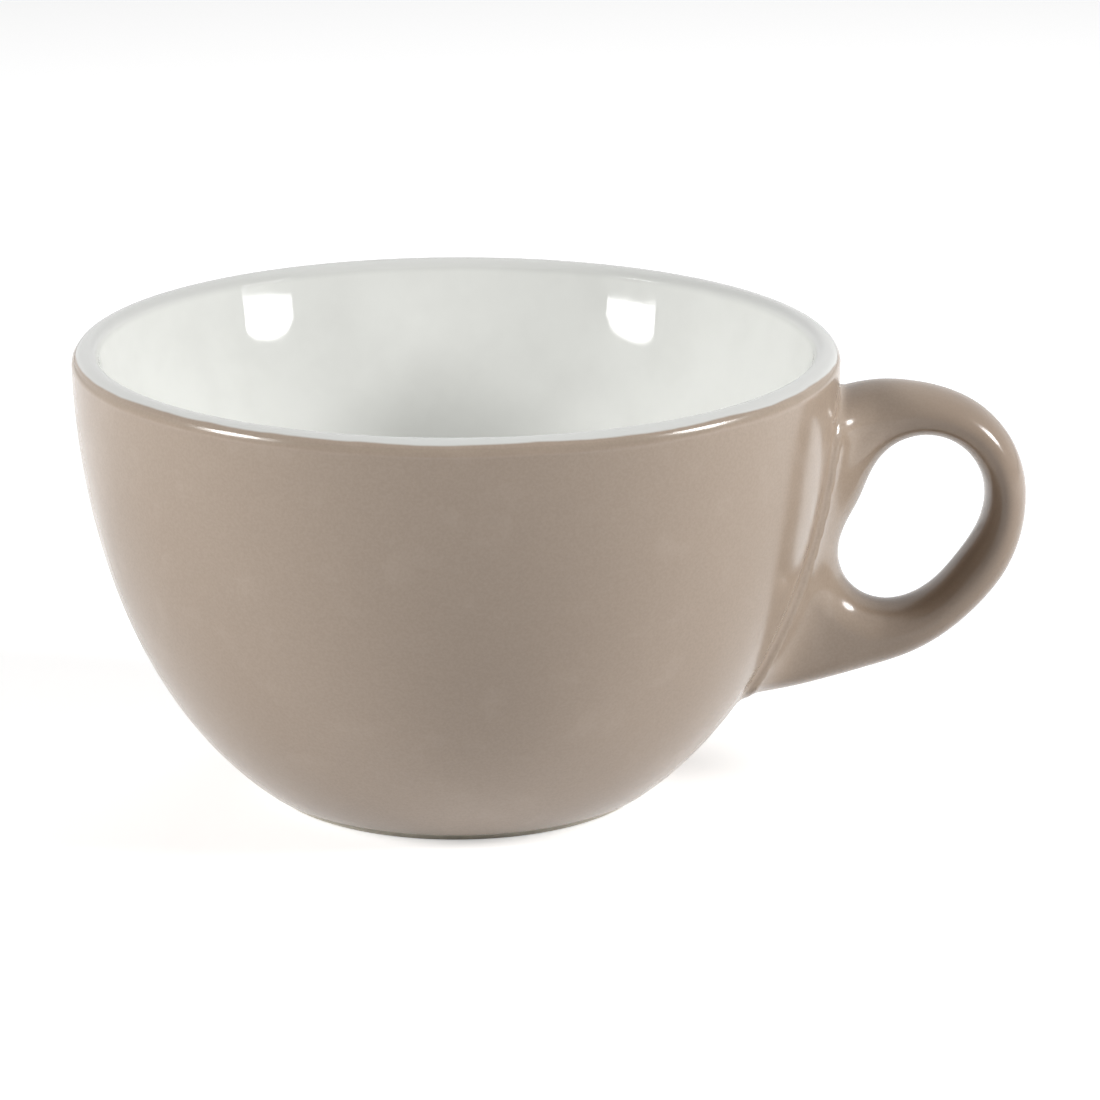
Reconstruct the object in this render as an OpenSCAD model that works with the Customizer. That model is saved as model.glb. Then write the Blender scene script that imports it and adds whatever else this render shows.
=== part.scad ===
// Cappuccino cup, built as it is fired: clay bowl, luted-on handle, slip joint and three glaze coats.
// Millimetres. +Z is up, the cup's axis is Z, the foot stands on Z = 0 and the handle points to +X.

/* [Bowl] */
// Diameter across the rim, over the glaze
rim_d = 108; // [96:1:120]
// Height from the table to the top of the lip
cup_h = 64.6; // [56:0.2:76]
// Lean of the wall from upright where it meets the lip, degrees
rim_lean = 5; // [2:0.5:12]
// Radius of the lip on its outer side
lip_outer_r = 2.2; // [1.6:0.1:2.8]
// Radius of the lip on its inner side
lip_inner_r = 1.6; // [1.1:0.1:2]
// How far out of the foot ring's side the bowl's curve starts
foot_step = 1.3; // [0.6:0.1:3]
// Lean of the bowl from upright where it starts above the foot, degrees
base_lean = 52.4; // [46:0.2:58]
// How far the bowl's curve keeps the lean it has above the foot
base_reach = 32.4; // [26:0.2:38]
// How far the bowl's curve keeps the lean it has under the lip
rim_reach = 1; // [0.5:0.5:12]

/* [Inside] */
// Height of the inner floor above the table
floor_z = 7.6; // [6:0.2:9]
// How far the floor keeps level out from the axis
floor_reach = 31; // [24:0.5:32]
// Lean of the inner wall from upright where it leaves the lip, degrees
inner_lean = 11; // [8:0.5:14]
// How far the inner wall keeps the lean it has under the lip
inner_reach = 42; // [36:0.5:46]

/* [Foot] */
// Diameter of the foot ring
foot_d = 55.2; // [52:0.2:56]
// Height of the foot ring's upright side
foot_h = 1; // [0.6:0.1:1.6]
// Width of the foot ring
foot_w = 4.2; // [3:0.1:6]
// Depth of the recess inside the foot ring, before its glaze
recess_h = 2.8; // [2:0.1:3.4]
// Radius of the corner round the recess
recess_fillet = 1.6; // [1:0.1:1.8]
// Height of bare clay left at the bottom of the recess wall
bare_h = 0.8; // [0.4:0.1:1]

/* [Glaze] */
// Thickness of every glaze coat
glaze_t = 0.35; // [0.2:0.05:0.5]
// Where the white and coloured glaze meet, up from the lip's widest line, degrees
glaze_break = 32; // [10:2:60]

/* [Handle] */
// How far the finger hole's centre lies below the top of the lip
hole_drop = 25.7; // [24.5:0.1:27]
// How far the finger hole's centre stands out of the wall beside it
hole_out = 13.6; // [12.8:0.1:14.6]
// Mean radius of the finger hole
hole_mean_r = 10.7; // [9:0.1:12]
// Direction of the hole's long axis, degrees up from +X
hole_long_dir = 62; // [50:1:75]
// Direction of the hole's blunt point, degrees up from +X
hole_point_dir = 228; // [215:1:240]
// Thickness of the strap at its outermost point
strap_t = 6; // [5:0.1:8]
// Width of the strap, across the handle
strap_w = 11.5; // [9:0.1:14]
// Extra half-width that the root gains where it meets the wall
root_flare = 5.2; // [2:0.1:7]
// Distance from the wall over which the root's flare dies away
root_reach = 2.2; // [1:0.1:4]
// Thickness of the slip that lutes the handle to the wall
slip_t = 0.3; // [0.1:0.05:0.35]
// Radius of the root's rounds towards the finger hole and towards its top and bottom
root_round = 5; // [3:0.1:7]
// How far the ring round the finger hole is drawn on behind the wall's face, where it is cut off
root_depth = 2.5; // [1.5:0.1:4]

/* [Hidden] */

clay_colour = "#e9e4da";
slip_colour = "#ddd6c9";
white_glaze = "#e6e7e2";
taupe_glaze = "#b3a291";

// Extent of the hole's long axis and of its blunt point, as shares of its mean radius
hole_long_share = 0.21;
hole_point_share = 0.037;
// Strap thickness every 30 degrees round the finger hole from +X, as shares of strap_t.
// The large ones lie inside the bowl, where the wall cuts the ring off.
strap_shares = [1, 1.01, 1.02, 1.14, 2.02, 2.17, 2.5, 5.95, 1.87, 1.28, 1.13, 1.16];

curve_steps = 28;
lip_steps = 8;
ring_steps = 72;
section_steps = 20;
overrun = 0.5;
// Points of an outline closer than this count as one
same_point = 0.001;
$fn = 96;

rim_r = rim_d / 2;
foot_r = foot_d / 2;
base_r = foot_r + foot_step;
recess_r = foot_r - foot_w;
lip_r = rim_r - lip_outer_r;

// Points and directions on a cubic curve with control points p
function curve_point(p, t) =
    pow(1 - t, 3) * p[0] + 3 * pow(1 - t, 2) * t * p[1] + 3 * (1 - t) * t * t * p[2] + pow(t, 3) * p[3];
function curve_tangent(p, t) =
    pow(1 - t, 2) * (p[1] - p[0]) + 2 * (1 - t) * t * (p[2] - p[1]) + t * t * (p[3] - p[2]);
// A curve moved to its left by inset, as a list of points
function inset_curve(p, inset) = [
    for (i = [0:curve_steps])
        let (t = i / curve_steps, d = curve_tangent(p, t), n = [-d.y, d.x] / norm(d))
            curve_point(p, t) + inset * n
];
function dir(a) = [cos(a), sin(a)];
function arc(c, r, from, to) = [for (i = [0:lip_steps]) c + r * dir(from + (to - from) * i / lip_steps)];
function reversed(p) = [for (i = [len(p) - 1:-1:0]) p[i]];

// Centres of the lip's outer and inner rounds, which share the lip's top
lip_outer_c = [lip_r, cup_h - lip_outer_r];
lip_inner_c = [lip_r, cup_h - lip_inner_r];

// Outside of the bowl, from the foot up to the lip
outer_top = lip_outer_c + lip_outer_r * dir(-rim_lean);
outer_ctrl = [
    [base_r, foot_h],
    [base_r, foot_h] + base_reach * dir(90 - base_lean),
    outer_top - rim_reach * dir(90 - rim_lean),
    outer_top
];
// Inside of the bowl, from the lip down to the middle of the floor. It leans more than the outside,
// so the wall thickens from the lip towards the foot.
inner_top = lip_inner_c + lip_inner_r * dir(180 - inner_lean);
inner_ctrl = [
    inner_top,
    inner_top + inner_reach * dir(270 - inner_lean),
    [floor_reach, floor_z],
    [0, floor_z]
];

function outside(inset) =
    concat([[base_r - inset / cos(base_lean), foot_h]], inset_curve(outer_ctrl, inset));
function inside(inset) = inset_curve(inner_ctrl, inset);
function lip(inset, from, to) =
    concat(
        from < 90 ? arc(lip_outer_c, lip_outer_r - inset, from, min(to, 90)) : [],
        to > 90 ? arc(lip_inner_c, lip_inner_r - inset, 90, to) : []
    );
function recess(inset, low) =
    concat(
        [[0, recess_h - inset]],
        arc([recess_r - recess_fillet, recess_h - recess_fillet], recess_fillet - inset, 90, 0),
        [[recess_r - inset, low]]
    );

// An outline turned round the cup's axis, without the points that repeat the one before them
module turned(p) {
    rotate_extrude()
        polygon([for (i = [0:len(p) - 1]) if (i == 0 || norm(p[i] - p[i - 1]) > same_point) p[i]]);
}

// The bowl's outside as a filled turned form, for seating the handle on the wall
module filled_bowl(inset) {
    turned(concat(
        [[0, foot_h - overrun], [base_r - inset / cos(base_lean) - overrun, foot_h - overrun]],
        outside(inset),
        lip(inset, -rim_lean, 90),
        [[0, cup_h - inset]]
    ));
}

module bowl() {
    color(clay_colour)
        turned(concat(
            recess(0, 0),
            [[foot_r, 0], [foot_r, foot_h]],
            outside(glaze_t),
            lip(glaze_t, -rim_lean, 180 - inner_lean),
            inside(glaze_t)
        ));
}

// White coat: from the colour break over the lip, down the inside and across the floor
module liner_glaze() {
    color(white_glaze)
        turned(concat(
            lip(0, glaze_break, 180 - inner_lean),
            inside(0),
            reversed(inside(glaze_t)),
            reversed(lip(glaze_t, glaze_break, 180 - inner_lean))
        ));
}

// Coloured coat: one skin over the outside of the bowl and round the handle
module colour_glaze() {
    color(taupe_glaze)
        difference() {
            union() {
                turned(concat(
                    [[0, foot_h]],
                    outside(0),
                    lip(0, -rim_lean, glaze_break),
                    [lip_outer_c, [0, lip_outer_c.y]]
                ));
                handle_ring(0);
            }
            union() {
                filled_bowl(glaze_t);
                handle_ring(glaze_t);
            }
        }
}

module base_glaze() {
    color(taupe_glaze)
        turned(concat(recess(glaze_t, bare_h), reversed(recess(0, bare_h))));
}

// Wall radius and the wall's slope at a height, for the root's seat and flare
wall_points = inset_curve(outer_ctrl, 0);
wall_table = [for (p = wall_points) [p.y, p.x]];
wall_slope = [
    for (i = [0:curve_steps])
        let (d = curve_tangent(outer_ctrl, i / curve_steps)) [wall_points[i].y, d.y / norm(d)]
];
// Distance of a point in the handle's plane from the wall, less than zero inside it
function wall_gap(p) = (p.x - lookup(p.y, wall_table)) * lookup(p.y, wall_slope);

// Centre of the finger hole
hole_z = cup_h - hole_drop;
hole_x = lookup(hole_z, wall_table) + hole_out;

// Smooth closed curve through the shares, by the angle a round the finger hole
function share_at(s, a) =
    let (u = a / 360 * len(s), i = floor(u), f = u - i, n = len(s))
        (pow(1 - f, 3) * s[(i + n - 1) % n]
        + (3 * pow(f, 3) - 6 * f * f + 4) * s[i % n]
        + (-3 * pow(f, 3) + 3 * f * f + 3 * f + 1) * s[(i + 1) % n]
        + pow(f, 3) * s[(i + 2) % n]) / 6;

// The finger hole's edge, the strap's thickness and a point, by the angle a round the hole
function hole_r(a, inset) =
    inset + hole_mean_r * (1 + hole_long_share * cos(2 * (a - hole_long_dir))
        + hole_point_share * cos(3 * (a - hole_point_dir)));
function strap_depth(a, inset) = strap_t * share_at(strap_shares, a) - 2 * inset;
function ring_point(a, r) = [hole_x, hole_z] + r * dir(a);
// Radius at which the ray at angle a enters the wall, or far where it never does, by halving
function wall_hit(a, near, far, halvings = 18) =
    let (middle = (near + far) / 2)
        halvings == 0 ? far
        : wall_gap(ring_point(a, middle)) > 0 ? wall_hit(a, middle, far, halvings - 1)
        : wall_hit(a, near, middle, halvings - 1);

// Share of the strap's half-width left at a distance in from a rounded edge
function edge_share(distance, round_r) = sqrt(1 - pow(max(0, 1 - distance / round_r), 2));

// One section of the strap, from the hole's edge outwards on one side and back on the other
function strap_section(a, inset) =
    let (
        near = hole_r(a, inset),
        depth = strap_depth(a, inset),
        far = min(near + depth, wall_hit(a, near, near + depth) + root_depth),
        round_r = min(depth / 2, root_round - inset)
    )
        [for (j = [0:section_steps - 1])
            let (
                b = 360 * j / section_steps,
                r = near + (far - near) * (1 - cos(b)) / 2,
                p = ring_point(a, r),
                flare = root_flare * exp(-max(0, wall_gap(p)) / root_reach),
                half_width = (strap_w / 2 + flare - inset)
                    * edge_share(r - near, round_r) * edge_share(near + depth - r, round_r)
            )
                [p.x, j == section_steps / 2 ? 0 : sign(sin(b)) * half_width, p.y]];

// The handle as a closed ring round the finger hole, whose roots run on behind the wall's face
module handle_ring(inset) {
    points = [for (i = [0:ring_steps - 1]) each strap_section(360 * i / ring_steps, inset)];
    faces = [
        for (i = [0:ring_steps - 1], j = [0:section_steps - 1], half = [0, 1])
            let (
                i2 = (i + 1) % ring_steps,
                j2 = (j + 1) % section_steps,
                a = i * section_steps + j,
                b = i * section_steps + j2,
                c = i2 * section_steps + j2,
                d = i2 * section_steps + j
            )
                half == 0 ? [a, b, c] : [a, c, d]
    ];
    polyhedron(points, faces);
}

module handle() {
    color(clay_colour)
        difference() {
            handle_ring(glaze_t);
            filled_bowl(glaze_t - slip_t);
        }
}

// The thin layer of slip between the wall and the handle's root
module luting_slip() {
    color(slip_colour)
        difference() {
            intersection() {
                handle_ring(glaze_t);
                filled_bowl(glaze_t - slip_t);
            }
            filled_bowl(glaze_t);
        }
}

bowl();
handle();
luting_slip();
liner_glaze();
colour_glaze();
base_glaze();
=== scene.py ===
import math
from functools import cached_property

import bmesh
import bpy
import numpy as np
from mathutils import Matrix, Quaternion, Vector


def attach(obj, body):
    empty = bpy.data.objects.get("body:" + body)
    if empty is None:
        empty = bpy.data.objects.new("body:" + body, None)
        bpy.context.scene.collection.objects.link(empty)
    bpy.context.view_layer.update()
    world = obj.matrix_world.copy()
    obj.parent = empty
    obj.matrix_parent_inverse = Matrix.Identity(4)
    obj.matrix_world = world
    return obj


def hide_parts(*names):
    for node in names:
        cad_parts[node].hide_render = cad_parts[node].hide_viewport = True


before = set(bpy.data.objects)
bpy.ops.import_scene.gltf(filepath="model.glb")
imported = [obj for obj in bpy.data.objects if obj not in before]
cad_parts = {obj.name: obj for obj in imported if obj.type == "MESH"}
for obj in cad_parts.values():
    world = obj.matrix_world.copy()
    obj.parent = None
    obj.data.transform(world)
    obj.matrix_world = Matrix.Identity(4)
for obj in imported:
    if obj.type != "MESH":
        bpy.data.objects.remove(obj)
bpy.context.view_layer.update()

MM = 0.001
# Less than this is no distance at all
TINY = 1e-6

# Sizes of the cup in millimetres and degrees, as in the part's source
RIM_R = 54.0
CUP_H = 64.6
RIM_LEAN = 5.0
LIP_OUTER_R = 2.2
LIP_INNER_R = 1.6
FOOT_R = 27.6
FOOT_H = 1.0
FOOT_W = 4.2
FOOT_STEP = 1.3
BASE_R = FOOT_R + FOOT_STEP
BASE_LEAN = 52.4
BASE_REACH = 32.4
RIM_REACH = 1.0
FLOOR_Z = 7.6
FLOOR_REACH = 31.0
INNER_LEAN = 11.0
INNER_REACH = 42.0
RECESS_H = 2.8
RECESS_FILLET = 1.6
BARE_H = 0.8
GLAZE_T = 0.35
GLAZE_BREAK = 32.0

HOLE_DROP = 25.7
HOLE_OUT = 13.6
HOLE_MEAN_R = 10.7
HOLE_LONG_DIR = 62.0
HOLE_POINT_DIR = 228.0
HOLE_LONG_SHARE = 0.21
HOLE_POINT_SHARE = 0.037
STRAP_T = 6.0
STRAP_W = 11.5
STRAP_SHARES = [1, 1.01, 1.02, 1.14, 2.02, 2.17, 2.5, 5.95, 1.87, 1.28, 1.13, 1.16]
ROOT_FLARE = 5.2
ROOT_REACH = 2.2
ROOT_ROUND = 5.0
ROOT_DEPTH = 2.5

# Sizes that only the dressed cup has, in millimetres
SEAM_FILLET = 1.6
FOOT_EDGE_R = 0.35
# Keeps the foot's straight inner side clear of its round edge and of the base's coat
FOOT_EDGE_GAP = 0.05
# The coat's lower edge stands this far above the foot ring
COAT_FOOT_GAP = 0.45
# Where the coat is thickened to cover the handle's flat faces, by how much and how far round
ROOT_COVER = np.array([45.0, 8.6, 18.4])
ROOT_COVER_T = 0.2
ROOT_COVER_R = 2.6
# The white runs out thin over the taupe, so the line that the eye sees lies higher than the coats' edge
COLOUR_LINE_ANGLE = 40.0

# Fineness of the meshes
TURNED_STEPS = 288
WALL_LINE_STEPS = 4000
RECESS_STEPS = 12
RECESS_FILLET_STEPS = 16
FOOT_EDGE_STEPS = 8
BAND_STEPS = 10
RING_ROUNDS = 180
RING_SIDES = 32
REACH_STEPS = 200
COAT_VOXEL = 0.7
# The inner wall begins this share of its curve below the lip, which keeps its shading free of the lip's
WALL_START_SHARE = 0.0002

# How the coat's points are moved onto the exact form, in millimetres
NEWTON_ROUNDS = 6
NEWTON_MOST = 0.5
LEAST_SLOPE_SQUARED = 0.05
LEAST_RING_SLOPE = 0.02
SLOPE_STEP = 0.01
SHADING_STEP = 0.12
# Only points this far above the foot, and outside this share of the lip's radius, are moved
MOVED_H = 0.3
MOVED_R_SHARE = 0.5
# Where the form's normal and the mesh's agree less than this, the form bends within one face
BENT_COSINE = 0.985

LIP_R = RIM_R - LIP_OUTER_R
LIP_OUTER_C = np.array([LIP_R, CUP_H - LIP_OUTER_R])
LIP_INNER_C = np.array([LIP_R, CUP_H - LIP_INNER_R])
LINE_Z = LIP_OUTER_C[1] + LIP_OUTER_R * math.sin(math.radians(COLOUR_LINE_ANGLE))


# Outlines, as points of radius and height

def heading(angle):
    return np.array([math.cos(math.radians(angle)), math.sin(math.radians(angle))])


def arc(centre, radius, start, end, steps=40):
    angles = np.radians(np.linspace(start, end, steps + 1))
    return centre + radius * np.stack([np.cos(angles), np.sin(angles)], 1)


def curve(ctrl, t, inset=0.0):
    """Points of a cubic curve, moved to its left by inset."""
    t = np.asarray(t, float)[:, None]
    p0, p1, p2, p3 = ctrl
    point = (1 - t) ** 3 * p0 + 3 * (1 - t) ** 2 * t * p1 + 3 * (1 - t) * t**2 * p2 + t**3 * p3
    slope = (1 - t) ** 2 * (p1 - p0) + 2 * (1 - t) * t * (p2 - p1) + t**2 * (p3 - p2)
    slope /= np.linalg.norm(slope, axis=1)[:, None]
    return point + inset * np.stack([-slope[:, 1], slope[:, 0]], 1)


OUTER_TOP = LIP_OUTER_C + LIP_OUTER_R * heading(-RIM_LEAN)
OUTER_CTRL = [
    np.array([BASE_R, FOOT_H]),
    np.array([BASE_R, FOOT_H]) + BASE_REACH * heading(90 - BASE_LEAN),
    OUTER_TOP - RIM_REACH * heading(90 - RIM_LEAN),
    OUTER_TOP,
]

INNER_TOP = LIP_INNER_C + LIP_INNER_R * heading(180 - INNER_LEAN)
INNER_CTRL = [
    INNER_TOP,
    INNER_TOP + INNER_REACH * heading(270 - INNER_LEAN),
    np.array([FLOOR_REACH, FLOOR_Z]),
    np.array([0, FLOOR_Z]),
]


def outside(inset, steps=96):
    """The outer wall from the foot up to the lip."""
    foot = [[BASE_R - inset / math.cos(math.radians(BASE_LEAN)), FOOT_H]]
    wall = curve(OUTER_CTRL, np.linspace(0, 1, steps + 1), inset)
    return np.concatenate([foot, wall]) if inset > 0 else wall


def inside(inset, steps=144):
    """The inner wall from the lip down, and the floor."""
    return curve(INNER_CTRL, np.append(WALL_START_SHARE, np.linspace(0, 1, steps + 1)[1:]), inset)


def lip(inset, start, end):
    """The lip's outer and inner arcs, from one angle to another."""
    parts = []
    if start < 90:
        parts.append(arc(LIP_OUTER_C, LIP_OUTER_R - inset, start, min(end, 90)))
    if end > 90:
        parts.append(arc(LIP_INNER_C, LIP_INNER_R - inset, 90, end)[1 if parts else 0:])
    return np.concatenate(parts)


def recess(inset, low):
    """The recess under the foot, from the axis out and down to a height."""
    fillet_c = np.array([FOOT_R - FOOT_W - RECESS_FILLET, RECESS_H - RECESS_FILLET])
    centre = np.linspace([0, RECESS_H - inset], [fillet_c[0], RECESS_H - inset], RECESS_STEPS)[:-1]
    return np.concatenate([
        centre,
        arc(fillet_c, RECESS_FILLET - inset, 90, 0, RECESS_FILLET_STEPS),
        [[FOOT_R - FOOT_W - inset, low]],
    ])


def foot_ring():
    """The bare foot ring, with its edges rounded by the sponge."""
    inner, outer, edge = FOOT_R - FOOT_W, FOOT_R, FOOT_EDGE_R
    return np.concatenate([
        [[inner, BARE_H + FOOT_EDGE_GAP], [inner, edge + FOOT_EDGE_GAP]],
        arc(np.array([inner + edge, edge]), edge, 180, 270, FOOT_EDGE_STEPS),
        np.linspace([inner + edge, 0], [outer - edge, 0], FOOT_EDGE_STEPS + 1)[1:-1],
        arc(np.array([outer - edge, edge]), edge, 270, 360, FOOT_EDGE_STEPS),
        [[outer, FOOT_H]],
    ])


# Meshes

def around(count):
    """Each of a number of places round a ring, with the next one."""
    return [(i, (i + 1) % count) for i in range(count)]


def turned_angles():
    return np.arange(TURNED_STEPS) * 2 * math.pi / TURNED_STEPS


def add_piece(name, points, faces, smooth=True):
    mesh = bpy.data.meshes.new(name)
    mesh.from_pydata([tuple(p) for p in np.asarray(points, float)], [], faces)
    mesh.update()
    mesh.polygons.foreach_set("use_smooth", [smooth] * len(mesh.polygons))
    piece = bpy.data.objects.new(name, mesh)
    bpy.context.scene.collection.objects.link(piece)
    return piece


def turned(name, outline):
    """A closed outline of radius and height in millimetres, turned round the axis."""
    keep = [p for i, p in enumerate(outline) if np.linalg.norm(p - outline[i - 1]) > TINY]
    points, rings = [], []
    for radius, height in keep:
        first = len(points)
        if radius < TINY:
            rings.append([first] * TURNED_STEPS)
            points.append((0, 0, height * MM))
        else:
            rings.append(list(range(first, first + TURNED_STEPS)))
            points += [
                (radius * MM * math.cos(a), radius * MM * math.sin(a), height * MM) for a in turned_angles()
            ]
    faces = []
    for low, high in zip(rings, rings[1:] + rings[:1]):
        if low[0] == low[1] and high[0] == high[1]:
            continue
        for i, k in around(TURNED_STEPS):
            corners = [low[i], low[k], high[k], high[i]]
            faces.append([c for n, c in enumerate(corners) if c != corners[n - 1]])
    piece = add_piece(name, points, faces)
    turned_out = bmesh.new()
    turned_out.from_mesh(piece.data)
    bmesh.ops.recalc_face_normals(turned_out, faces=turned_out.faces)
    turned_out.to_mesh(piece.data)
    turned_out.free()
    return piece


# The handle's form, by the angle round the finger hole and the distance outside its edge

WALL_LINE = outside(0, WALL_LINE_STEPS)
WALL_RUN, WALL_RISE = np.gradient(WALL_LINE[:, 0]), np.gradient(WALL_LINE[:, 1])
WALL_SLOPE = WALL_RISE / np.hypot(WALL_RUN, WALL_RISE)
HOLE_Z = CUP_H - HOLE_DROP
HOLE_X = np.interp(HOLE_Z, WALL_LINE[:, 1], WALL_LINE[:, 0]) + HOLE_OUT


def wall_gap(radius, height):
    """Distance in front of the wall, less than zero inside it."""
    ahead = radius - np.interp(height, WALL_LINE[:, 1], WALL_LINE[:, 0])
    return ahead * np.interp(height, WALL_LINE[:, 1], WALL_SLOPE)


def strap_depth(angle):
    """The strap's thickness, a smooth curve through the shares by angle."""
    shares = np.array(STRAP_SHARES, float)
    u = np.mod(angle, 360) / 360 * len(shares)
    i = np.floor(u).astype(int)
    f = u - i
    before, here, after, last = (shares[(i + k) % len(shares)] for k in (-1, 0, 1, 2))
    return STRAP_T * (
        (1 - f) ** 3 * before
        + (3 * f**3 - 6 * f**2 + 4) * here
        + (-3 * f**3 + 3 * f**2 + 3 * f + 1) * after
        + f**3 * last
    ) / 6


def hole_radius(angle):
    return HOLE_MEAN_R * (
        1
        + HOLE_LONG_SHARE * np.cos(np.radians(2 * (angle - HOLE_LONG_DIR)))
        + HOLE_POINT_SHARE * np.cos(np.radians(3 * (angle - HOLE_POINT_DIR)))
    )


def hole_spot(angle, inner):
    """The place in the handle's middle plane at a distance outside the hole's edge."""
    spot = hole_radius(angle) + inner
    return HOLE_X + spot * np.cos(np.radians(angle)), HOLE_Z + spot * np.sin(np.radians(angle))


def round_share(inner, depth):
    """How far a point has gone round the strap's edge: 0 in its flat middle and 1 on its face."""
    round_r = np.minimum(depth / 2, ROOT_ROUND)
    return np.maximum(0, 1 - np.minimum(inner, depth - inner) / round_r)


def half_width(x, z):
    return STRAP_W / 2 + ROOT_FLARE * np.exp(-np.maximum(0, wall_gap(x, z)) / ROOT_REACH)


def ring_level(p):
    """Zero on the handle's surface, less than zero inside it."""
    dx, dz = p[:, 0] - HOLE_X, p[:, 2] - HOLE_Z
    angle = np.degrees(np.arctan2(dz, dx))
    u = round_share(np.hypot(dx, dz) - hole_radius(angle), strap_depth(angle))
    v = p[:, 1] / half_width(p[:, 0], p[:, 2])
    return np.sqrt(u**2 + v**2) - 1


# The coat's exact form, as distances in millimetres

def slope_of(function, p, step=SLOPE_STEP):
    out = np.empty_like(p)
    for axis in range(3):
        move = np.zeros(3)
        move[axis] = step
        out[:, axis] = (function(p + move) - function(p - move)) / (2 * step)
    return out


def ring_distance(p):
    slope = np.linalg.norm(slope_of(ring_level, p), axis=1)
    return ring_level(p) / np.maximum(slope, LEAST_RING_SLOPE)


def bowl_distance(p):
    """Distance from the outside of the bowl, exact near its wall and lip."""
    radius, height = np.hypot(p[:, 0], p[:, 1]), p[:, 2]
    wall = wall_gap(radius, np.minimum(height, OUTER_TOP[1]))
    round_lip = np.hypot(radius - LIP_OUTER_C[0], height - LIP_OUTER_C[1]) - LIP_OUTER_R
    lip_side = (height > OUTER_TOP[1]) & (radius > LIP_OUTER_C[0])
    top = height - CUP_H
    return np.where(lip_side, round_lip, np.where(height > OUTER_TOP[1], top, wall))


def joined_distance(p):
    """The bowl and the handle with the glaze's round fillet in the corner between them."""
    bowl, ring = bowl_distance(p), ring_distance(p)
    # Low on the root the CAD handle's flat faces span the flare's hollow, and the coat covers them too
    away = np.column_stack([p[:, 0], np.abs(p[:, 1]), p[:, 2]]) - ROOT_COVER
    ring = ring - ROOT_COVER_T * np.exp(-(away**2).sum(1) / ROOT_COVER_R**2)
    share = np.clip(0.5 + 0.5 * (ring - bowl) / SEAM_FILLET, 0, 1)
    return ring + (bowl - ring) * share - SEAM_FILLET * share * (1 - share)


# The coat itself

def ring_mesh():
    """A rough closed ring for the coat's first mesh, in millimetres. It ends a little inside the wall."""
    sides = np.arange(RING_SIDES) * 2 * math.pi / RING_SIDES
    rounds = []
    for angle in np.arange(RING_ROUNDS) * 360 / RING_ROUNDS:
        depth = strap_depth(angle)
        distances = np.linspace(0, depth, REACH_STEPS)
        sunk = wall_gap(*hole_spot(angle, distances)) < -ROOT_DEPTH
        reach = distances[sunk.argmax()] if sunk.any() else depth
        inner = reach * (1 - np.cos(sides)) / 2
        x, z = hole_spot(angle, inner)
        half = half_width(x, z) * np.sqrt(np.maximum(0, 1 - round_share(inner, depth) ** 2))
        rounds.append(np.stack([x, np.copysign(half, np.sin(sides)), z], 1))
    faces = [
        [i * RING_SIDES + j, i * RING_SIDES + k, n * RING_SIDES + k, n * RING_SIDES + j]
        for i, n in around(RING_ROUNDS) for j, k in around(RING_SIDES)
    ]
    return np.concatenate(rounds), faces


def rough_coat():
    """The bowl's outside and the handle, meshed roughly as one skin."""
    solid = turned("coat_form", np.concatenate([
        [[0, FOOT_H]], outside(0), lip(0, -RIM_LEAN, 90)[1:], [[0, CUP_H]],
    ]))
    points, faces = ring_mesh()
    ring = add_piece("ring_form", points * MM, faces)
    form = bmesh.new()
    form.from_mesh(solid.data)
    form.from_mesh(ring.data)
    bmesh.ops.recalc_face_normals(form, faces=form.faces)
    form.to_mesh(solid.data)
    form.free()
    remesh = solid.modifiers.new("remesh", "REMESH")
    remesh.mode = "VOXEL"
    remesh.voxel_size = COAT_VOXEL * MM
    bpy.context.view_layer.update()
    rough = bpy.data.meshes.new_from_object(solid.evaluated_get(bpy.context.evaluated_depsgraph_get()))
    bpy.data.objects.remove(solid)
    bpy.data.objects.remove(ring)
    return rough


def move_onto_form(mesh):
    """Moves the points of the mesh's visible sides onto the exact form. Its flat ends are cut off later."""
    flat = np.empty(len(mesh.vertices) * 3)
    mesh.vertices.foreach_get("co", flat)
    points = flat.reshape(-1, 3) / MM
    radius = np.hypot(points[:, 0], points[:, 1])
    sides = (points[:, 2] > FOOT_H + MOVED_H) & (radius > LIP_R * MOVED_R_SHARE)
    moving = points[sides]
    for _ in range(NEWTON_ROUNDS):
        level, slope = joined_distance(moving), slope_of(joined_distance, moving)
        move = slope * (level / np.maximum((slope**2).sum(1), LEAST_SLOPE_SQUARED))[:, None]
        length = np.linalg.norm(move, axis=1)[:, None]
        moving = moving - move * np.minimum(1, NEWTON_MOST / np.maximum(length, TINY))
    points[sides] = moving
    mesh.vertices.foreach_set("co", (points * MM).ravel())


def coat_skin():
    """The coat's outer face, ending in an exact band that is turned up the lip to where the white begins."""
    rough = rough_coat()
    move_onto_form(rough)
    skin = bmesh.new()
    skin.from_mesh(rough)
    bpy.data.meshes.remove(rough)
    for height, side in ((LIP_OUTER_C[1], 1), (FOOT_H + COAT_FOOT_GAP, -1)):
        bmesh.ops.bisect_plane(
            skin, geom=skin.verts[:] + skin.edges[:] + skin.faces[:], dist=TINY,
            plane_co=(0, 0, height * MM), plane_no=(0, 0, side), clear_outer=True,
        )
    band = arc(LIP_OUTER_C, LIP_OUTER_R, 0, GLAZE_BREAK, BAND_STEPS) * MM
    rings = [
        [skin.verts.new((r * math.cos(a), r * math.sin(a), z)) for a in turned_angles()] for r, z in band
    ]
    for low, high in zip(rings, rings[1:]):
        for i in range(TURNED_STEPS):
            skin.faces.new((low[i - 1], low[i], high[i], high[i - 1]))
    skin.verts.index_update()
    skin.normal_update()
    return skin


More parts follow.
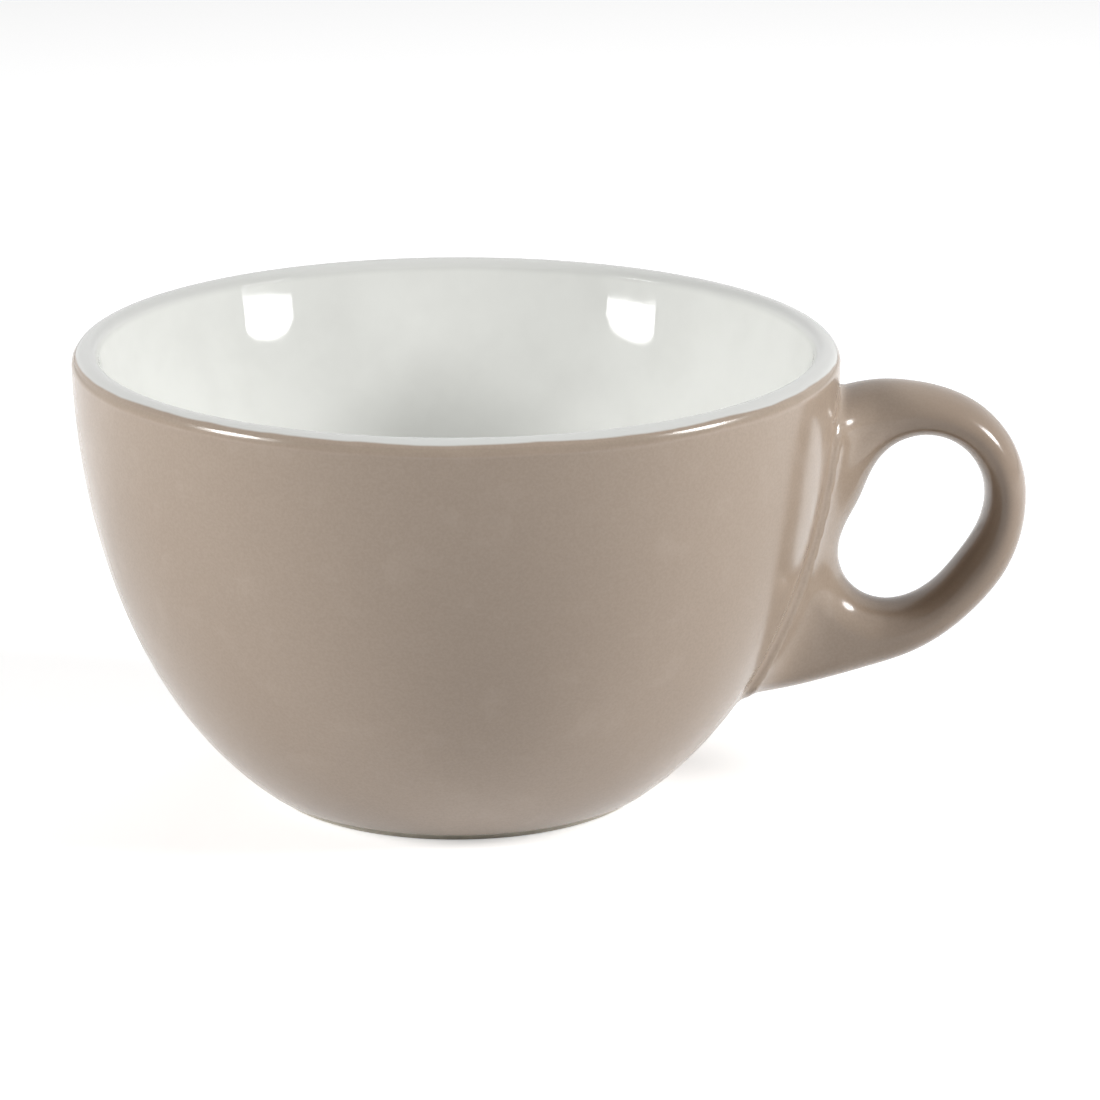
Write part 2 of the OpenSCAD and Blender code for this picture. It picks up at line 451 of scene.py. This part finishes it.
def colour_coat():
    """The taupe coat, one closed shell over the bowl's outside and the handle."""
    skin = coat_skin()
    outer = np.array([v.co[:] for v in skin.verts])
    mesh_normals = np.array([v.normal[:] for v in skin.verts])
    faces = [[v.index for v in face.verts] for face in skin.faces]
    rims = [
        (loop.vert.index, edge.other_vert(loop.vert).index)
        for edge in skin.edges if edge.is_boundary for loop in edge.link_loops
    ]
    skin.free()
    normals = slope_of(joined_distance, outer / MM, SHADING_STEP)
    normals /= np.linalg.norm(normals, axis=1)[:, None]
    # In the corner at the handle's root the mesh's own normals are calmer
    bent = (normals * mesh_normals).sum(1) < BENT_COSINE
    normals[bent] = mesh_normals[bent]
    count = len(outer)
    faces += [[i + count for i in reversed(face)] for face in faces]
    faces += [[b, a, a + count, b + count] for a, b in rims]
    piece = add_piece("colour_coat", np.concatenate([outer, outer - GLAZE_T * MM * normals]), faces)
    # Elsewhere the form's own normals keep the highlights free of the mesh's grain
    piece.data.normals_split_custom_set_from_vertices(np.concatenate([normals, -normals]))
    return piece


# Node trees

# The colour sockets of the Mix node, which share their names with its number sockets
MIX_A, MIX_B, MIX_RESULT = 6, 7, 2


class Nodes:
    """Short ways to build the node tree of a material or of the world."""

    def __init__(self, owner):
        owner.use_nodes = True
        self.tree = owner.node_tree
        self.tree.nodes.clear()

    @cached_property
    def place(self):
        """The place on the piece, in metres."""
        return self.node("TexCoord").outputs["Object"]

    def set(self, socket, value):
        if isinstance(value, bpy.types.NodeSocket):
            self.tree.links.new(value, socket)
        else:
            socket.default_value = value

    def node(self, kind, settings=None, **inputs):
        made = self.tree.nodes.new("ShaderNode" + kind)
        for key, value in (settings or {}).items():
            setattr(made, key, value)
        for key, value in inputs.items():
            self.set(made.inputs[key.replace("_", " ")], value)
        return made

    def fill(self, kind, *values):
        """A node whose sockets are set in their order, and its first output."""
        made = self.node(kind)
        for socket, value in zip(made.inputs, values):
            self.set(socket, value)
        return made.outputs[0]

    def math(self, operation, a, b=0.0, clamp=False):
        made = self.node("Math", {"operation": operation, "use_clamp": clamp})
        self.set(made.inputs[0], a)
        self.set(made.inputs[1], b)
        return made.outputs[0]

    def split(self, vector):
        return self.node("SeparateXYZ", Vector=vector).outputs

    def noise(self, scale, detail, roughness):
        made = self.node("TexNoise", Vector=self.place, Scale=scale, Detail=detail, Roughness=roughness)
        return made.outputs["Fac"]

    def marks(self, scale, detail, roughness, low, high, to_low=0.0, to_high=1.0):
        """Noise with its range from low to high stretched into marks."""
        return self.ramp(self.noise(scale, detail, roughness), low, high, to_low, to_high)

    def ramp(self, value, low, high, to_low=0.0, to_high=1.0):
        made = self.node("MapRange", {"interpolation_type": "SMOOTHSTEP"}, Value=value)
        numbers = {"From Min": low, "From Max": high, "To Min": to_low, "To Max": to_high}
        for name, number in numbers.items():
            made.inputs[name].default_value = number
        return made.outputs["Result"]

    def mix(self, share, a, b):
        made = self.node("Mix", {"data_type": "RGBA"}, Factor=share)
        self.set(made.inputs[MIX_A], a)
        self.set(made.inputs[MIX_B], b)
        return made.outputs[MIX_RESULT]

    def tint(self, share, amount, colour, tinted):
        """A second colour mixed in where share is high, as much as amount says."""
        return self.mix(self.math("MULTIPLY", share, amount), colour, tinted)

    def bump(self, height, distance, strength):
        return self.node("Bump", Strength=strength, Distance=distance, Height=height).outputs["Normal"]

    def seen(self):
        """1 for rays that reach the camera, straight or by way of gloss or glass."""
        rays = self.node("LightPath").outputs
        indirect = self.math("MAXIMUM", rays["Is Glossy Ray"], rays["Is Transmission Ray"])
        return self.math("MAXIMUM", rays["Is Camera Ray"], indirect)


# Colours, in linear red, green and blue

TAUPE_LOW = (0.328, 0.257, 0.198, 1)
TAUPE_HIGH = (0.356, 0.281, 0.218, 1)
TAUPE_DEEP = (0.27, 0.205, 0.155, 1)
TAUPE_PALE = (0.43, 0.35, 0.283, 1)
TAUPE_LOOP = (0.235, 0.172, 0.125, 1)
TAUPE_SPECK = (0.12, 0.09, 0.07, 1)
TAUPE_BAND = (0.27, 0.225, 0.165, 1)
WHITE = (0.76, 0.766, 0.737, 1)
WHITE_CLOUD = (0.72, 0.725, 0.697, 1)
# Painted shade: the lip's top is drawn a greyer white than the inside
WHITE_LIP_SHADE = (0.605, 0.608, 0.588, 1)
CLAY = (0.74, 0.69, 0.60, 1)
CLAY_PATCH = (0.62, 0.56, 0.47, 1)
CLAY_GRAIN_SHARE = 0.9
SLIP = (0.66, 0.61, 0.52, 1)
PURE_WHITE = (1, 1, 1, 1)
FLOOR_GREY = (0.86, 0.86, 0.86, 1)

# Noises, as their scale to the metre, detail and roughness

WANDER_NOISE = (75, 3, 0.5)
RIPPLE_NOISE = (42, 2, 0.5)
PIT_NOISE = (1500, 2, 0.6)
GRAIN_NOISE = (900, 5, 0.65)

# Marks, as a noise and the range of it that shows

FINE_MARKS = (2600, 3, 0.6, 0.32, 0.68)
CLOUD_MARKS = (160, 4, 0.55, 0.52, 0.75)
BROAD_MARKS = (26, 2, 0.5, 0.45, 0.75)
WHITE_MARKS = (90, 3, 0.55, 0.35, 0.75)
GLOSS_MARKS = (300, 3, 0.55, 0.3, 0.7)
PATCH_MARKS = (60, 3, 0.5, 0.45, 0.7)
GRAIN_RANGE = (0.3, 0.7)

# How much each mark shows, and where in metres

LOOP_FROM = 0.056
LOOP_TO = 0.074
CLOUD_AMOUNT = 0.22
BROAD_AMOUNT = 0.10
LOOP_AMOUNT = 0.6
SPECKS_PER_METRE = 210.0
# Of the specks' random numbers from 0 to 1, only those over this bar show
SPECK_BAR = 0.965
SPECK_INNER = 0.03
SPECK_OUTER = 0.055
SPECK_AMOUNT = 0.6
PATCH_AMOUNT = 0.3

# The line between the glazes: the wander and the tilt are in metres, the rest in millimetres

WANDER = -0.0007
TILT = -0.00025
TILT_TURN = 0.35
LINE_BELOW = 0.10
LINE_ABOVE = 0.14
BAND_FROM = 1.25
BAND_TO = 0.75
BAND_AMOUNT = 0.22
PALE_DROP = 1.5
PALE_HALF = 0.3
PALE_AMOUNT = 0.25
LIP_SHADE_FROM = 2.0
LIP_SHADE_TO = 0.5

GLAZE_IOR = 1.5
# Roughness low and high, the pits' share of the relief, and the relief's height in metres
COAT_FINISH = (0.15, 0.22, 0.03, 0.0001)
LINING_FINISH = (0.02, 0.04, 0.012, 0.00012)
GLAZE_RELIEF = 0.35
CLAY_ROUGH_LOW = 0.72
CLAY_ROUGH_HIGH = 0.9
CLAY_RELIEF = 0.6
# How high the grain stands, in metres
CLAY_GRAIN_H = 0.0002
SLIP_GRAIN_H = 0.0001


def taupe_colour(nodes):
    """Fine mottling, broader clouds, a darker loop and a few dark pinholes."""
    colour = nodes.mix(nodes.marks(*FINE_MARKS), TAUPE_LOW, TAUPE_HIGH)
    colour = nodes.tint(nodes.marks(*CLOUD_MARKS), CLOUD_AMOUNT, colour, TAUPE_PALE)
    colour = nodes.tint(nodes.marks(*BROAD_MARKS), BROAD_AMOUNT, colour, TAUPE_DEEP)
    # The coat turns darker on the handle's loop, further out along X than LOOP_FROM
    loop = nodes.ramp(nodes.split(nodes.place)["X"], LOOP_FROM, LOOP_TO)
    colour = nodes.tint(loop, LOOP_AMOUNT, colour, TAUPE_LOOP)
    specks = nodes.node("TexVoronoi", Vector=nodes.place, Scale=SPECKS_PER_METRE, Randomness=1.0)
    chosen = nodes.node("SeparateColor", Color=specks.outputs["Color"])
    few = nodes.math("GREATER_THAN", chosen.outputs[0], SPECK_BAR)
    near = nodes.ramp(specks.outputs["Distance"], SPECK_INNER, SPECK_OUTER, 1.0, 0.0)
    return nodes.tint(nodes.math("MULTIPLY", near, few), SPECK_AMOUNT, colour, TAUPE_SPECK)


def line_level(nodes, place):
    """The height of a point, moved up and down a little so that the line between the glazes wanders."""
    # Turns from the front of the cup, in radians, the handle's side positive
    turn = nodes.math("ARCTAN2", place["X"], nodes.math("MULTIPLY", place["Y"], -1.0))
    wander = nodes.math("MULTIPLY", nodes.math("SUBTRACT", nodes.noise(*WANDER_NOISE), 0.5), WANDER)
    tilt = nodes.math("MULTIPLY", nodes.math("COSINE", nodes.math("ADD", turn, TILT_TURN)), TILT)
    return nodes.math("ADD", place["Z"], nodes.math("ADD", wander, tilt))


def taupe_by_the_line(nodes, level):
    """The coat's colour, with an olive band under the line and a pale edge to the band."""
    band = nodes.ramp(level, (LINE_Z - BAND_FROM) * MM, (LINE_Z - BAND_TO) * MM)
    taupe = nodes.tint(band, BAND_AMOUNT, taupe_colour(nodes), TAUPE_BAND)
    off = nodes.math("SUBTRACT", level, (LINE_Z - PALE_DROP) * MM)
    off = nodes.math("ABSOLUTE", nodes.math("MULTIPLY", off, 1 / (PALE_HALF * MM)))
    edge = nodes.math("SUBTRACT", 1.0, off, clamp=True)
    return nodes.tint(edge, PALE_AMOUNT, taupe, TAUPE_PALE)


def white_colour(nodes, height):
    """Faint clouds, and on the lip a greyer white: painted shade on the lip's top."""
    white = nodes.mix(nodes.marks(*WHITE_MARKS), WHITE, WHITE_CLOUD)
    # Painted shade: the white turns greyer towards the top of the lip
    lip_shade = nodes.ramp(height, (CUP_H - LIP_SHADE_FROM) * MM, (CUP_H - LIP_SHADE_TO) * MM)
    return nodes.mix(lip_shade, white, WHITE_LIP_SHADE)


def glaze(name, inner, finish):
    """Both glazes share the soft line round the lip where the white runs out over the taupe."""
    material = bpy.data.materials.new(name)
    nodes = Nodes(material)
    place = nodes.split(nodes.place)
    level = line_level(nodes, place)
    taupe_side = nodes.ramp(level, (LINE_Z - LINE_BELOW) * MM, (LINE_Z + LINE_ABOVE) * MM, 1.0, 0.0)
    if inner:
        flat = nodes.node("CombineXYZ", X=place["X"], Y=place["Y"]).outputs[0]
        radius = nodes.node("VectorMath", {"operation": "LENGTH"})
        nodes.set(radius.inputs[0], flat)
        outer_side = nodes.math("GREATER_THAN", radius.outputs["Value"], LIP_R * MM)
        taupe_side = nodes.math("MULTIPLY", taupe_side, outer_side)
    taupe = taupe_colour(nodes) if inner else taupe_by_the_line(nodes, level)
    rough_low, rough_high, pit_share, relief = finish
    pits = nodes.math("MULTIPLY", nodes.noise(*PIT_NOISE), pit_share)
    height = nodes.math("ADD", nodes.noise(*RIPPLE_NOISE), pits)
    shader = nodes.node(
        "BsdfPrincipled",
        Base_Color=nodes.mix(taupe_side, white_colour(nodes, place["Z"]), taupe),
        Roughness=nodes.marks(*GLOSS_MARKS, rough_low, rough_high),
        IOR=GLAZE_IOR,
        Normal=nodes.bump(height, relief, GLAZE_RELIEF),
    )
    nodes.node("OutputMaterial", Surface=shader.outputs[0])
    return material


def clay(name, colour, relief):
    """Matt clay with a fine grain and darker patches. The relief is in metres."""
    material = bpy.data.materials.new(name)
    nodes = Nodes(material)
    grain = nodes.noise(*GRAIN_NOISE)
    grain_colour = tuple(CLAY_GRAIN_SHARE * c for c in colour[:3]) + (1,)
    shade = nodes.mix(nodes.ramp(grain, *GRAIN_RANGE), grain_colour, colour)
    shade = nodes.tint(nodes.marks(*PATCH_MARKS), PATCH_AMOUNT, shade, CLAY_PATCH)
    shader = nodes.node(
        "BsdfPrincipled",
        Base_Color=shade,
        Roughness=nodes.ramp(grain, *GRAIN_RANGE, CLAY_ROUGH_LOW, CLAY_ROUGH_HIGH),
        Normal=nodes.bump(grain, relief, CLAY_RELIEF),
    )
    nodes.node("OutputMaterial", Surface=shader.outputs[0])
    return material


def dress(piece, material):
    piece.data.materials.clear()
    piece.data.materials.append(material)


# The pieces

taupe_glaze = glaze("taupe_glaze", False, COAT_FINISH)
white_glaze = glaze("white_glaze", True, LINING_FINISH)
bare_clay = clay("bare_clay", CLAY, CLAY_GRAIN_H)
slip_clay = clay("slip_clay", SLIP, SLIP_GRAIN_H)

clay_body = turned("clay_body", np.concatenate([
    recess(0, BARE_H)[:-1],
    foot_ring(),
    outside(GLAZE_T),
    lip(GLAZE_T, -RIM_LEAN, 180 - INNER_LEAN)[1:],
    inside(GLAZE_T),
]))
white_lining = turned("white_lining", np.concatenate([
    lip(0, GLAZE_BREAK, 180 - INNER_LEAN),
    inside(0),
    inside(GLAZE_T)[::-1],
    lip(GLAZE_T, GLAZE_BREAK, 180 - INNER_LEAN)[::-1],
]))
base_coat = turned("base_coat", np.concatenate([recess(GLAZE_T, BARE_H), recess(0, BARE_H)[::-1]]))
taupe_coat = colour_coat()

for piece, node, slot, material in (
    (clay_body, "bowl", "bare_clay", bare_clay),
    (white_lining, "liner_glaze", "white_glaze", white_glaze),
    (base_coat, "base_glaze", "taupe_glaze", taupe_glaze),
    (taupe_coat, "colour_glaze", "taupe_glaze", taupe_glaze),
):
    dress(piece, material)
    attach(piece, "root")
    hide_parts(node)
dress(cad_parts["handle"], bare_clay)
dress(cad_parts["luting_slip"], slip_clay)

# The floor and the world, in metres and strengths

FLOOR_HALF = 3
FLOOR_GLOW = 0.45
WORLD_SEEN = 1.0
WORLD_LIGHT = 0.0

floor = add_piece("floor", [
    (-FLOOR_HALF, -FLOOR_HALF, 0), (FLOOR_HALF, -FLOOR_HALF, 0),
    (FLOOR_HALF, FLOOR_HALF, 0), (-FLOOR_HALF, FLOOR_HALF, 0),
], [[0, 1, 2, 3]], smooth=False)


def floor_material():
    """A pale floor. Its glow shows only to rays that reach the camera, so it lights nothing."""
    material = bpy.data.materials.new("floor")
    nodes = Nodes(material)
    matt = nodes.node("BsdfDiffuse", Color=FLOOR_GREY).outputs[0]
    glow = nodes.node("Emission", Color=PURE_WHITE, Strength=FLOOR_GLOW).outputs[0]
    surface = nodes.fill("MixShader", nodes.seen(), matt, nodes.fill("AddShader", matt, glow))
    nodes.node("OutputMaterial", Surface=surface)
    return material


def studio_world():
    """A white background, also in reflections, that sheds no light."""
    world = bpy.data.worlds.new("studio")
    nodes = Nodes(world)
    dim = nodes.node("Background", Color=PURE_WHITE, Strength=WORLD_LIGHT).outputs[0]
    white = nodes.node("Background", Color=PURE_WHITE, Strength=WORLD_SEEN).outputs[0]
    nodes.node("OutputWorld", Surface=nodes.fill("MixShader", nodes.seen(), dim, white))
    return world


dress(floor, floor_material())
bpy.context.scene.world = studio_world()

# The lamps stand on a sphere round the aim, in metres. Azimuth 0 is the camera's side and 90 is the handle's

LAMP_AIM = Vector((0, 0, 0.04))
LAMP_DISTANCE = 1.0
# Each row has the name, azimuth, elevation, width, height, watts, shape and roll
ROOM_LAMPS = (
    ("left_key", -68, 28, 0.4, 0.4, 9.2, "ELLIPSE", 0),
    ("right_key", 79, 28, 0.4, 0.4, 10.4, "ELLIPSE", 0),
    ("back_fill", 180, 45, 0.6, 0.4, 1.6, "RECTANGLE", 0),
)
# The reflections of these are the bright shields inside the cup
SHIELD_LAMPS = (
    ("left_low", -61.5, 8.55, 0.33, 0.014, 0.21, "RECTANGLE", 5.7),
    ("left_low_top", -62.4, 8.95, 0.32, 0.027, 0.26, "ELLIPSE", 5.7),
    ("right_low", 69, 7.79, 0.33, 0.014, 0.20, "RECTANGLE", -6.7),
    ("right_low_top", 69.7, 8.12, 0.32, 0.027, 0.26, "ELLIPSE", -6.7),
)
# The reflections of these are the glints on the lip's edge and the handle
GLINT_LAMPS = (
    ("left_glint", -70, 28, 0.30, 0.26, 6.0, "ELLIPSE", 0),
    ("right_glint", 81, 28, 0.30, 0.26, 6.0, "ELLIPSE", 0),
)


def softbox(name, azimuth, elevation, width, height, power, shape, roll):
    """An area lamp aimed at the cup."""
    lamp = bpy.data.lights.new(name, "AREA")
    lamp.shape = shape
    lamp.size, lamp.size_y = width, height
    lamp.energy = power
    a, e = math.radians(azimuth), math.radians(elevation)
    back = Vector((math.sin(a) * math.cos(e), -math.cos(a) * math.cos(e), math.sin(e)))
    box = bpy.data.objects.new(name, lamp)
    box.location = LAMP_AIM + back * LAMP_DISTANCE
    box.rotation_mode = "QUATERNION"
    box.rotation_quaternion = back.to_track_quat("Z", "Y") @ Quaternion((0, 0, 1), math.radians(roll))
    bpy.context.scene.collection.objects.link(box)
    return box


# At their size the room's lamps would mirror as streaks, so they light the cup without a reflection
for row in ROOM_LAMPS:
    softbox(*row).visible_glossy = False

for group, shown_on, rows in (
    ("lining_only", white_lining, SHIELD_LAMPS),
    ("coat_only", taupe_coat, GLINT_LAMPS),
):
    receivers = bpy.data.collections.new(group)
    receivers.objects.link(shown_on)
    for row in rows:
        accent = softbox(*row)
        accent.visible_diffuse = False
        accent.light_linking.receiver_collection = receivers

# The camera, in metres and degrees, fitted to the photograph

EYE = (0.01342, -0.61105, 0.21811)
PITCH = 16.78
ROLL = -0.09
YAW = 0.048
LENS = 146.35
SENSOR = 36.0
CLIP_NEAR = 0.01
CLIP_FAR = 20

camera = bpy.data.cameras.new("camera")
camera.lens = LENS
camera.sensor_width = SENSOR
camera.clip_start = CLIP_NEAR
camera.clip_end = CLIP_FAR
eye = bpy.data.objects.new("camera", camera)
eye.location = EYE
eye.rotation_euler = (math.radians(90 - PITCH), math.radians(ROLL), math.radians(YAW))
bpy.context.scene.collection.objects.link(eye)
bpy.context.scene.camera = eye
bpy.context.scene.view_settings.view_transform = "Standard"
